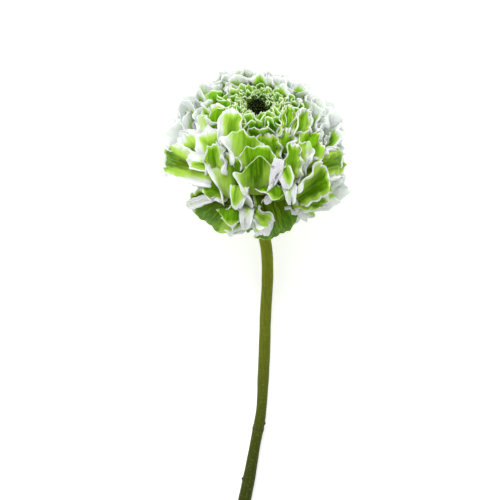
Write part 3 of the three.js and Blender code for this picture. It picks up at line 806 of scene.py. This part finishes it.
def heart_petals():
    """The small petals, in a golden-angle spiral outwards. They stand lower on the side that the heart
    opens to, and are painted darker close to the eye, most of all beyond it: painted shade in the hollow
    round the eye, where their pale edges are narrower too."""
    petals = []
    first, last = EYE_RADIUS + 0.5, HEART_RADIUS + 1.5
    radius = first
    while radius < last:
        i = len(petals)
        share = (radius - first) / (last - first)
        spacing = mix(*HEART_SPACING, share)
        azimuth = i * GOLDEN_ANGLE + mix(-0.3, 0.3, chance(i, 34)) * spacing / radius
        aside = (azimuth - OPEN_TOWARDS + pi) % (2 * pi) - pi
        opened = 5 * np.exp(-((aside / radians(60)) ** 2)) * ease(radius, 10, 5)
        # Painted shade: petals close to the eye, and most of all beyond it, get a darker green and narrower
        # pale edges.
        painted_shade = ease(radius, 8, 5.5) + ease(radius, 9.5, 6) * ease(sin(azimuth), -0.2, 0.6)
        white_top = mix(0.35, 0.7, share) * mix(0.6, 1.4, chance(i, 28)) * mix(1, 0.75, painted_shade)
        side_white = mix(0.3, 0.6, share)
        petals.append(dict(
            cells=(18, 10),
            azimuth=azimuth,
            root=(radius, HEART_FLOOR),
            root_slope=radians(mix(98, 80, share)),
            tip=(
                radius + mix(-0.6, 1.8, share) + 0.4 * opened + mix(-0.5, 0.5, chance(i, 20)),
                mix(30.2, 32.3, ease(share, 0, 0.5)) - 1.4 * share - opened + mix(-0.9, 0.9, chance(i, 21)),
            ),
            tip_slope=radians(mix(112, 84, share) + mix(-22, 22, chance(i, 22))),
            width=spacing * mix(2.1, 3.0, chance(i, 23)),
            wrap=2,
            base=0.5,
            folds=mix(0.4, 0.9, share),
            phase=2 * pi * chance(i, 24),
            drift=2 * pi * chance(i, 25),
            ruffle=mix(0.7, 1.2, share) * mix(0.8, 1.25, chance(i, 29)),
            crimp=0.26,
            frill=mix(0.05, 0.012, ease(share, 0.1, 0.6)),
            curl=(mix(-0.4, 1.4, chance(i, 30)), mix(-0.4, 1.4, chance(i, 31))),
            lip=1.3,
            roll=mix(-0.5, 1.2, chance(i, 26)),
            tilt=mix(-0.7, 0.7, chance(i, 32)),
            sway=mix(-0.8, 0.8, chance(i, 33)),
            tone=chance(i, 27) - 1.2 * painted_shade,
            white=(white_top, side_white, side_white),
        ))
        radius += spacing ** 2 / (2 * pi * radius)
    return [one for one in petals if one["root"][0] < 13 or sin(one["azimuth"]) < 0.4]


heart = petals_object("small_petals", heart_petals(), HEART_THICKNESS)
# The near-black root colour of the small petals is a painted shade between them.
heart.data.materials.append(petal_paint(
    "heart_petal", scale=1.6,
    root=(0.01, 0.06, 0.002), deep=(0.06, 0.25, 0.008), fresh=(0.28, 0.6, 0.03),
    near_white=(0.46, 0.74, 0.16), veined_white=(0.6, 0.82, 0.3), white=(0.77, 0.91, 0.56),
))
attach(heart, "root")
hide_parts("heart_petals")

# The eye: a dense head of tiny beaked carpels, nearly black green, a few with paler tips. Each is a small
# bent spindle set on the blunt cone at the middle of the bloom.
CARPELS = 170
CARPEL_GIRTH = 0.36
HEAD_RADIUS = 3.7
HEAD_DEPTH = 3.6
CONE_TOP = 28.8
CONE = [(3.1, HEART_FLOOR + 0.3), (3.1, 24.5), (2.6, 27), (1.4, CONE_TOP), (0.3, 29.3)]


def carpels(count):
    """Spindles in a golden-angle spiral down the cone, leaning out more the lower they stand."""
    parts, faces, tips, first = [], [], [], 0
    sides, rings = 6, 6
    for i in range(count):
        along = mix(0.02, 1, (i + 0.5) / count)
        radius = HEAD_RADIUS * sqrt(min(1, 1.4 * along))
        height = CONE_TOP - HEAD_DEPTH * along ** 1.2
        lean = mix(0.1, 1.0, along) + mix(-0.15, 0.15, chance(i, 41))
        length = mix(1.5, 2.2, chance(i, 42))
        turn = i * GOLDEN_ANGLE
        t = np.linspace(0, 1, rings)[:, None]
        girth = CARPEL_GIRTH * np.sin(pi * np.clip(0.12 + 0.88 * (1 - t), 0, 1)) ** 0.7 * (1 - 0.55 * t)
        bend = lean + 0.5 * t
        out = radius + length * t * np.sin(bend)
        up = height + length * t * np.cos(bend)
        ring = np.arange(sides) * 2 * pi / sides
        r = out + girth * np.cos(ring)
        a = turn + girth * np.sin(ring) / np.maximum(r, 0.6)
        points = in_world(r * np.cos(a), r * np.sin(a), up + 0 * ring)
        parts.append(points.reshape(-1, 3))
        tips.append(np.repeat(t, sides))
        last = first + (rings - 1) * sides
        faces.append(first + tube_faces(rings, sides))
        faces.append(first + np.array([[3, 2, 1, 0], [0, 5, 4, 3]]))
        faces.append(last + np.array([[0, 1, 2, 3], [3, 4, 5, 0]]))
        first += rings * sides
    return np.concatenate(parts), np.concatenate(faces), {"tip": np.concatenate(tips)}


eye = add_object("eye_carpels", mesh_from("eye_carpels", *carpels(CARPELS)))
eye_cone = turned("eye_cone", CONE, sides=24)
eye_paint, eye_shader, start = new_material("carpel", Roughness=0.8, Specular_IOR_Level=0.1)
tip = start.attribute("tip")
fleck = start.node("ShaderNodeTexNoise", Scale=700, Detail=1)
pale = (tip * 0.6 + fleck * 1.6).step(1.45, 1.6)
feed(pale.between((0.002, 0.005, 0.001), (0.42, 0.7, 0.1)), eye_shader, "Base Color")
for piece in (eye, eye_cone):
    piece.data.materials.append(eye_paint)
    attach(piece, "root")
    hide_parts("eye")

# The calyx: a small fleshy cup under the bloom with five thin pointed sepals, bent back against the lowest
# petals. They are the green leaves that closed the bud, pale at their edges.
SEPALS = 5
SEPAL_THICKNESS = 0.45
CUP = [(3.1, -24.9), (3.5, -24.9), (4.6, -24.3), (5.6, -23.5), (6.4, -22.3), (6.6, -21.4)]
calyx_paint, calyx_shader, start = new_material("sepal", Roughness=0.6)
edge, across = start.attribute("edge"), start.attribute("across")
grain = start.node("ShaderNodeTexNoise", Scale=500, Detail=3)
place = start.node("ShaderNodeCombineXYZ", X=across)
ribs = start.node("ShaderNodeTexNoise", Vector=place, Scale=1.3, Detail=2)
flesh = (grain * 0.5 + ribs * 0.5).step(0.38, 0.62).between((0.16, 0.27, 0.03), (0.36, 0.5, 0.11))
feed((edge + grain * 0.5).step(0.6, 1.6).between((0.6, 0.68, 0.42), flesh), calyx_shader, "Base Color")
bump = start.node("ShaderNodeBump", Strength=0.3, Distance=VEIN_DEPTH * MM, Height=ribs)
feed(bump, calyx_shader, "Normal")
sepal_blades = [
    dict(
        azimuth=2 * pi * (k + 0.3) / SEPALS,
        root=(4.5, -23.4), root_slope=radians(4),
        tip=(19.5, -21.4), tip_slope=radians(mix(-30, -8, chance(k, 60))),
        lip=3, roll=mix(-0.9, 0.2, chance(k, 61)),
        cells=(24, 24), width=11, base=0.55, rounding=0.75, frill=0.01, ruffle=0.35, folds=0.5, phase=k,
        drift=2.1 * k, side_ruffle=0.3, crimp=0.1, curl=(0.5, 0.5), white=(1, 1, 1),
    )
    for k in range(SEPALS)
]
sepals = petals_object("sepals", sepal_blades, SEPAL_THICKNESS)
cup = turned("calyx_cup", CUP, sides=48)
for piece in (sepals, cup):
    piece.data.materials.append(calyx_paint)
    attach(piece, "root")
    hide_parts("calyx")

# The stem: one fleshy, finely ribbed stalk, yellow green above and deeper green towards its cut end, with
# one thin swollen joint and two small scars of side leaves. It is swept round a smooth line that starts
# inside the calyx and comes down on the table at its cut end. Its top is given as height on the bloom's axis
# and radius, and its route as x and y from the bloom's centre, height above the table, and radius.
STEM_TOP = [(-25.3, 3), (-30.3, 2.75)]
STEM_ROUTE = [
    (2.3, -31, 9.9, 2.75), (4.6, -42, 8.4, 2.75), (5.1, -54, 7.5, 2.7), (4.2, -72, 6.7, 2.65),
    (3.3, -98, 5.6, 2.7), (1.1, -124.8, 4.4, 2.6), (0.75, -126.5, 4.3, 2.7), (0.4, -128.2, 4.2, 2.6),
    (-3.4, -149, 3.6, 2.85), (-8.2, -172, 3, 3.15),
]
STEM_RIBS = 11
RIB_DEPTH = 0.022
# The joint and the scars lie at a y of the object's frame; a scar has its side and how far it stands out.
JOINT_AT = -59.2
JOINT_HALF = 0.65
JOINT_SWELLING = 0.12
SCARS = [(-56.2, pi, 0.5), (-83.3, 0, 0.6)]
SCAR_LENGTH = 0.6
SCAR_WIDTH = 0.7
STEM_SIDES = 66
STEM_RINGS = 420
LEAST_HEIGHT = 0.02
# The cut end sinks in towards its middle: the share of the radius that is left, and how far on it lies.
CUT_END = [(0.97, 0.02), (0.9, -0.05), (0.8, -0.25), (0.55, -0.3), (0.3, -0.7), (0.12, -0.8)]
knots = [(*in_world(0, 0, height), radius) for height, radius in STEM_TOP]
knots += [(x + BLOOM_CENTRE[0], y + BLOOM_CENTRE[1], z, radius) for x, y, z, radius in STEM_ROUTE]
knots = np.array(knots, float)
reached = np.concatenate([[0], np.cumsum(np.linalg.norm(np.diff(knots[:, :3], axis=0), axis=1))])
line = smooth_line(knots, reached / reached[-1], np.linspace(0, 1, STEM_RINGS))
middle, girth = line[:, :3], line[:, 3]
heading = np.gradient(middle, axis=0)
heading /= np.linalg.norm(heading, axis=1, keepdims=True)
aside = np.cross(np.array([0, 0, 1.0]), heading)
aside /= np.linalg.norm(aside, axis=1, keepdims=True)
up = np.cross(heading, aside)
turn = np.arange(STEM_SIDES) * 2 * pi / STEM_SIDES
y = middle[:, 1][:, None]
joint = np.exp(-(((y - JOINT_AT) / JOINT_HALF) ** 2))
radius = girth[:, None] * (1 + RIB_DEPTH * np.cos(STEM_RIBS * turn + 0.5 * np.sin(y / 11)))
radius = radius + 0.05 * np.sin(y / 1.9 + 2 * np.cos(turn)) * np.sin(y / 7.3 + turn)
radius = radius + JOINT_SWELLING * joint
for scar_y, scar_turn, height in SCARS:
    apart = (turn - scar_turn + pi) % (2 * pi) - pi
    beside = apart * girth[:, None] / SCAR_WIDTH
    radius = radius + height * np.exp(-(((y - scar_y) / SCAR_LENGTH) ** 2) - beside ** 2)
points = middle[:, None] - radius[..., None] * (np.cos(turn)[:, None] * aside[:, None])
points = points + radius[..., None] * (np.sin(turn)[:, None] * up[:, None])
ends = [middle[-1] + share * (points[-1] - middle[-1]) + onward * heading[-1] for share, onward in CUT_END]
points = np.concatenate([points, np.array(ends)])
points[..., 2] = np.maximum(points[..., 2], LEAST_HEIGHT)
k = np.arange(STEM_SIDES // 2 - 1)
lid = np.stack([k, k + 1, STEM_SIDES - 2 - k, STEM_SIDES - 1 - k], axis=-1)
quads = [tube_faces(len(points), STEM_SIDES), lid[:, ::-1], lid + (len(points) - 1) * STEM_SIDES]
zeros, ones = np.zeros(len(CUT_END)), np.ones(len(CUT_END))
values = {
    "down": np.repeat(np.concatenate([np.linspace(0, 1, STEM_RINGS), ones]), STEM_SIDES),
    "ring": np.repeat(np.concatenate([joint[:, 0], zeros]), STEM_SIDES),
    "cut": np.repeat(np.concatenate([np.zeros(STEM_RINGS), ones]), STEM_SIDES),
}
stem = add_object("stem_stalk", mesh_from("stem_stalk", points.reshape(-1, 3), np.concatenate(quads), values))
stem_paint, stem_shader, start = new_material("stem_skin", Roughness=0.5, Specular_IOR_Level=0.08)
down, ring, cut = (start.attribute(key) for key in ("down", "ring", "cut"))
place = start.node("ShaderNodeTexCoord", out=3)
long_place = start.node("ShaderNodeMapping", Vector=place, Scale=(1, 0.12, 1))
streak = start.node("ShaderNodeTexNoise", Vector=long_place, Scale=1500, Detail=2)
speckle = start.node("ShaderNodeTexNoise", Vector=place, Scale=1300, Detail=2)
skin = down.step(-0.2, 0.9).between((0.27, 0.32, 0.015), (0.034, 0.047, 0.003))
skin = (streak.step(0.5, 0.7) * 0.4).between(skin, (0.05, 0.08, 0.008))
skin = (speckle.step(0.56, 0.66) * 0.12).between(skin, (0.4, 0.42, 0.16))
skin = (ring.step(0.3, 0.9) * 0.8).between(skin, (0.05, 0.06, 0.015))
feed(cut.step(0.4, 0.6).between(skin, (0.4, 0.46, 0.16)), stem_shader, "Base Color")
stem.data.materials.append(stem_paint)
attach(stem, "root")
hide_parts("stem")
